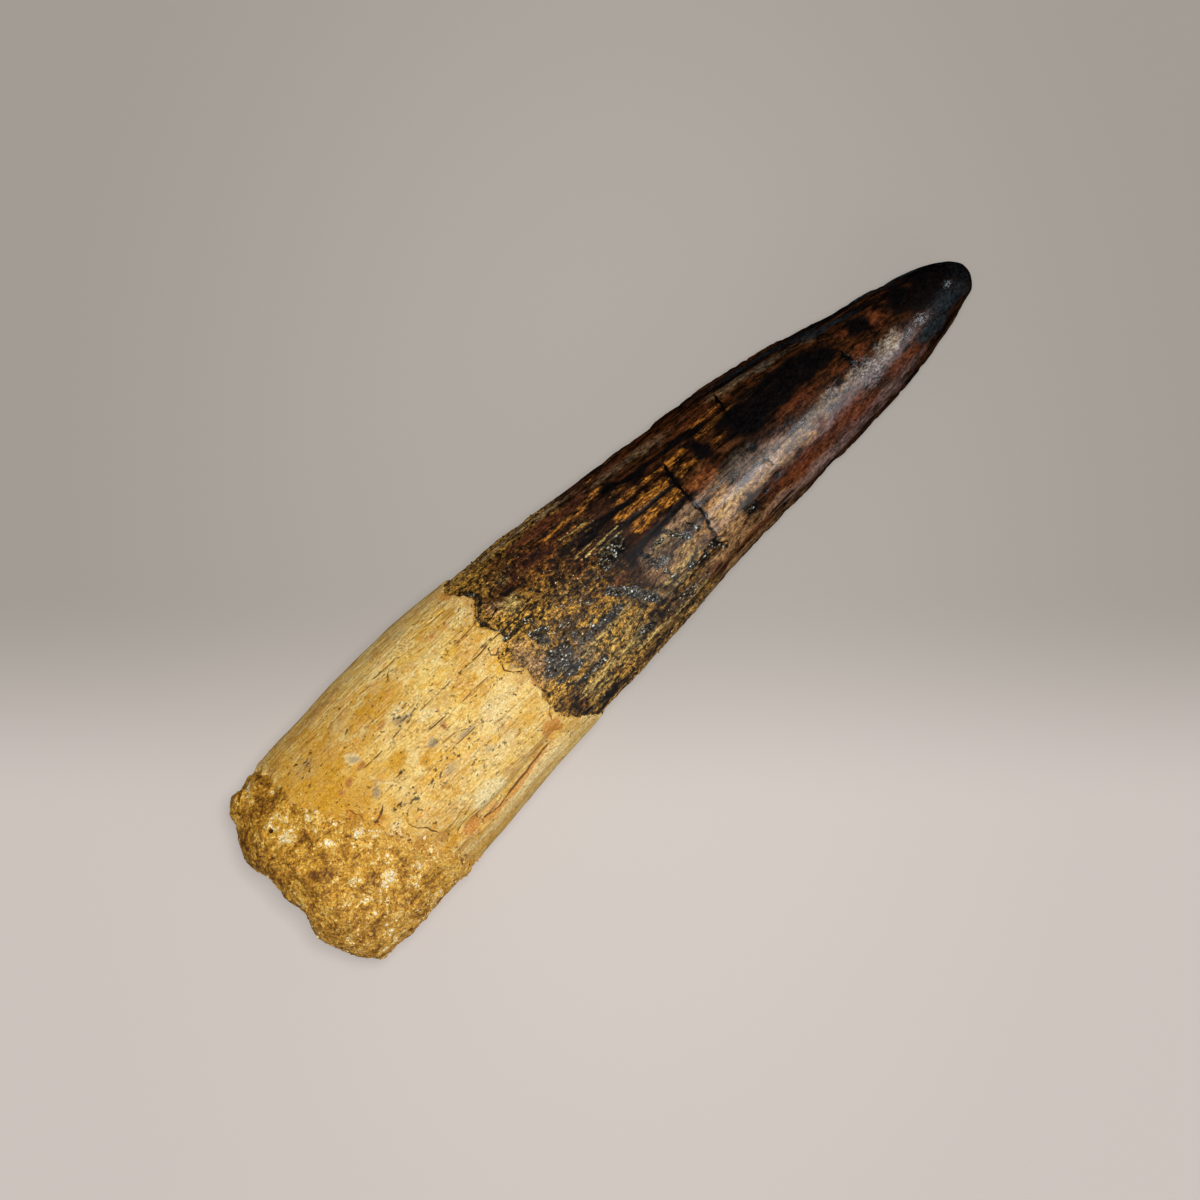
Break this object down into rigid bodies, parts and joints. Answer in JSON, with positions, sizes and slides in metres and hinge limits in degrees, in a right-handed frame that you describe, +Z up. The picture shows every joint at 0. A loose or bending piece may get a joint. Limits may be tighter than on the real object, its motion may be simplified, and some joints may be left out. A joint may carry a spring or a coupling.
{
  "type": "spinosaurus tooth fossil",
  "caption": "Fossil spinosaurus tooth lying on its side: dark tapered crown, tan root and a crust of cemented sand on the broken end.",
  "frame": {"origin": "middle of the tooth's bounding box in plan, on the surface that the tooth rests on", "axes": "+X runs from the broken root end to the tip, +Z up out of the side that the picture shows, and +Y to the edge that is the upper one in the picture"},
  "size_m": [0.0953, 0.0243, 0.0196],
  "materials": {
    "fossil_tooth": "satin"
  },
  "bodies": {
    "root": {"tooth": "fossil_tooth"}
  },
  "joints": []
}
